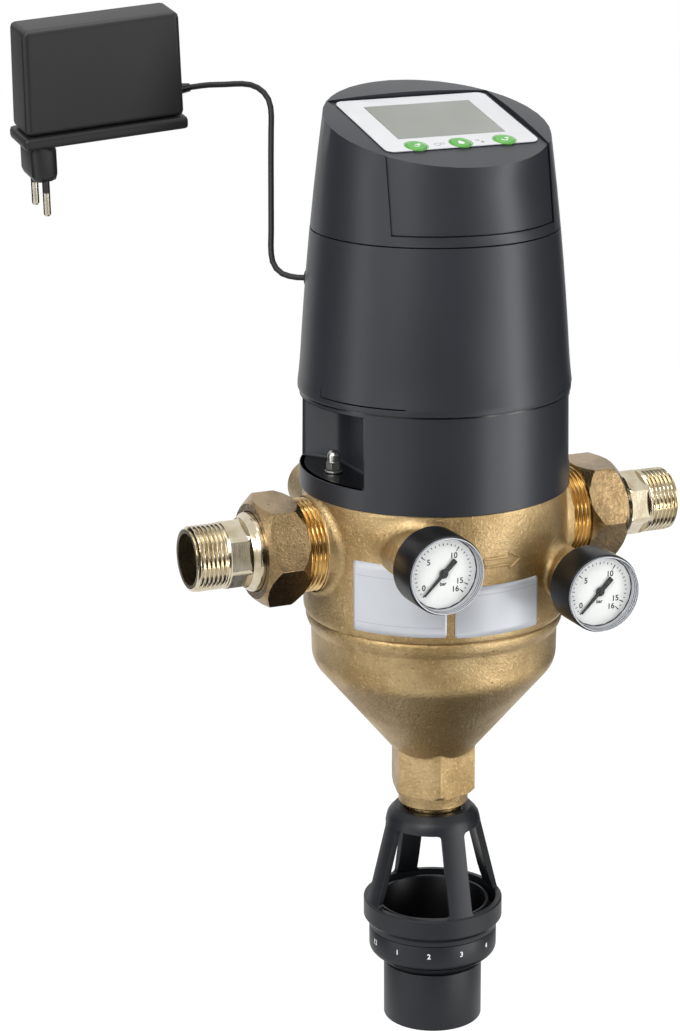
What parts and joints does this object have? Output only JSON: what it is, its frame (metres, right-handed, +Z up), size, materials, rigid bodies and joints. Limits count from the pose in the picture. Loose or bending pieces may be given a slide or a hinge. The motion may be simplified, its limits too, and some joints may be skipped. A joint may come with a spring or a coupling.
{
  "type": "self cleaning water filter",
  "caption": "Motor driven self cleaning water filter for a pipe, with union ends, pressure gauges, control head and open drain funnel.",
  "frame": {"origin": "where the axis of the pipe line crosses the upright axis of the filter, held by the pipe at both unions", "axes": "+X along the pipe in the direction of flow, +Z up, -Y the front with the gauges and the panel"},
  "size_m": [0.3194, 0.2192, 0.5334],
  "materials": {
    "cast_brass": "bare sand-cast brass",
    "nut_bronze": "bare cast bronze",
    "nickel_brass": "machined and pale plated",
    "steel": "plain steel",
    "anthracite": "fine moulded grain",
    "black_plastic": "satin black",
    "foil": "satin silver film",
    "display": "pale grey display glass",
    "key_green": "satin green",
    "board_green": "solder resist",
    "rubber": "black",
    "ivory_plastic": "natural engineering plastic",
    "dial_white": "white",
    "clear": "clear moulded plastic",
    "pin_nickel": "nickel plated"
  },
  "bodies": {
    "filter": {"body_casting": "cast_brass", "bonnet": "cast_brass", "inlet_gauge_stem": "cast_brass", "outlet_gauge_stem": "cast_brass", "inlet_tail": "nickel_brass", "outlet_tail": "nickel_brass", "inlet_port_plug": "nickel_brass", "outlet_port_plug": "nickel_brass", "valve_seat": "steel", "screen_mesh": "steel", "left_stud": "steel", "right_stud": "steel", "left_washer": "steel", "right_washer": "steel", "left_cap_nut": "steel", "right_cap_nut": "steel", "drive_frame": "steel", "gear_motor": "steel", "base_skirt": "anthracite", "hood_shell": "anthracite", "control_head": "anthracite", "control_panel": "anthracite", "drain_funnel": "anthracite", "drain_bowl": "anthracite", "inlet_gauge_case": "black_plastic", "outlet_gauge_case": "black_plastic", "adapter_housing": "black_plastic", "adapter_base": "black_plastic", "adapter_relief": "black_plastic", "display_foil": "foil", "lcd_screen": "display", "circuit_board": "board_green", "inlet_gasket": "rubber", "outlet_gasket": "rubber", "bonnet_seal": "rubber", "cord_grommet": "rubber", "power_cord": "rubber", "screen_cage": "ivory_plastic", "spindle_bush": "ivory_plastic", "inlet_gauge_dial": "dial_white", "outlet_gauge_dial": "dial_white", "inlet_gauge_glass": "clear", "outlet_gauge_glass": "clear", "inlet_gauge_ring": "clear", "outlet_gauge_ring": "clear", "front_plug_pin": "pin_nickel", "rear_plug_pin": "pin_nickel"},
    "backwash_rotor": {"rotor_shaft": "steel", "suction_tube": "ivory_plastic", "drive_wheel": "ivory_plastic", "valve_disc": "ivory_plastic"},
    "pinion": {"motor_pinion": "steel"},
    "inlet_pointer": {"inlet_gauge_pointer": "black_plastic"},
    "outlet_pointer": {"outlet_gauge_pointer": "black_plastic"},
    "left_push_key": {"left_key": "key_green"},
    "middle_push_key": {"middle_key": "key_green"},
    "right_push_key": {"right_key": "key_green"},
    "reminder_ring": {"month_ring": "anthracite"},
    "inlet_union_nut": {"inlet_nut": "nut_bronze"},
    "outlet_union_nut": {"outlet_nut": "nut_bronze"}
  },
  "joints": [
    {"name": "rotor_spin", "type": "hinge", "parent": "filter", "child": "backwash_rotor", "pos_m": [0, 0, 0], "axis": [0, 0, 1], "continuous": true},
    {"name": "pinion_spin", "type": "hinge", "parent": "filter", "child": "pinion", "pos_m": [0, 0.03, 0], "axis": [0, 0, 1], "continuous": true},
    {"name": "inlet_pointer_turn", "type": "hinge", "parent": "filter", "child": "inlet_pointer", "pos_m": [-0.0385, 0, 0.0062], "axis": [0, 1, 0], "range_deg": [0, 270], "stiffness_Nm_per_rad": 0.0004},
    {"name": "outlet_pointer_turn", "type": "hinge", "parent": "filter", "child": "outlet_pointer", "pos_m": [0.0471, 0, -0.0141], "axis": [0, 1, 0], "range_deg": [0, 270], "stiffness_Nm_per_rad": 0.0004},
    {"name": "left_key_press", "type": "slide", "parent": "filter", "child": "left_push_key", "axis": [0, 0.2363, -0.9717], "range_m": [0, 0.0005], "stiffness_N_per_m": 800, "springref_m": -0.001},
    {"name": "middle_key_press", "type": "slide", "parent": "filter", "child": "middle_push_key", "axis": [0, 0.2363, -0.9717], "range_m": [0, 0.0005], "stiffness_N_per_m": 800, "springref_m": -0.001},
    {"name": "right_key_press", "type": "slide", "parent": "filter", "child": "right_push_key", "axis": [0, 0.2363, -0.9717], "range_m": [0, 0.0005], "stiffness_N_per_m": 800, "springref_m": -0.001},
    {"name": "reminder_ring_turn", "type": "hinge", "parent": "filter", "child": "reminder_ring", "pos_m": [0, 0, -0.226], "axis": [0, 0, 1], "continuous": true},
    {"name": "inlet_nut_turn", "type": "hinge", "parent": "filter", "child": "inlet_union_nut", "pos_m": [-0.09, 0, 0], "axis": [1, 0, 0], "continuous": true},
    {"name": "outlet_nut_turn", "type": "hinge", "parent": "filter", "child": "outlet_union_nut", "pos_m": [0.09, 0, 0], "axis": [1, 0, 0], "continuous": true}
  ],
  "couplings": [
    {"joint": "pinion_spin", "follows": "rotor_spin", "ratio": -3}
  ]
}
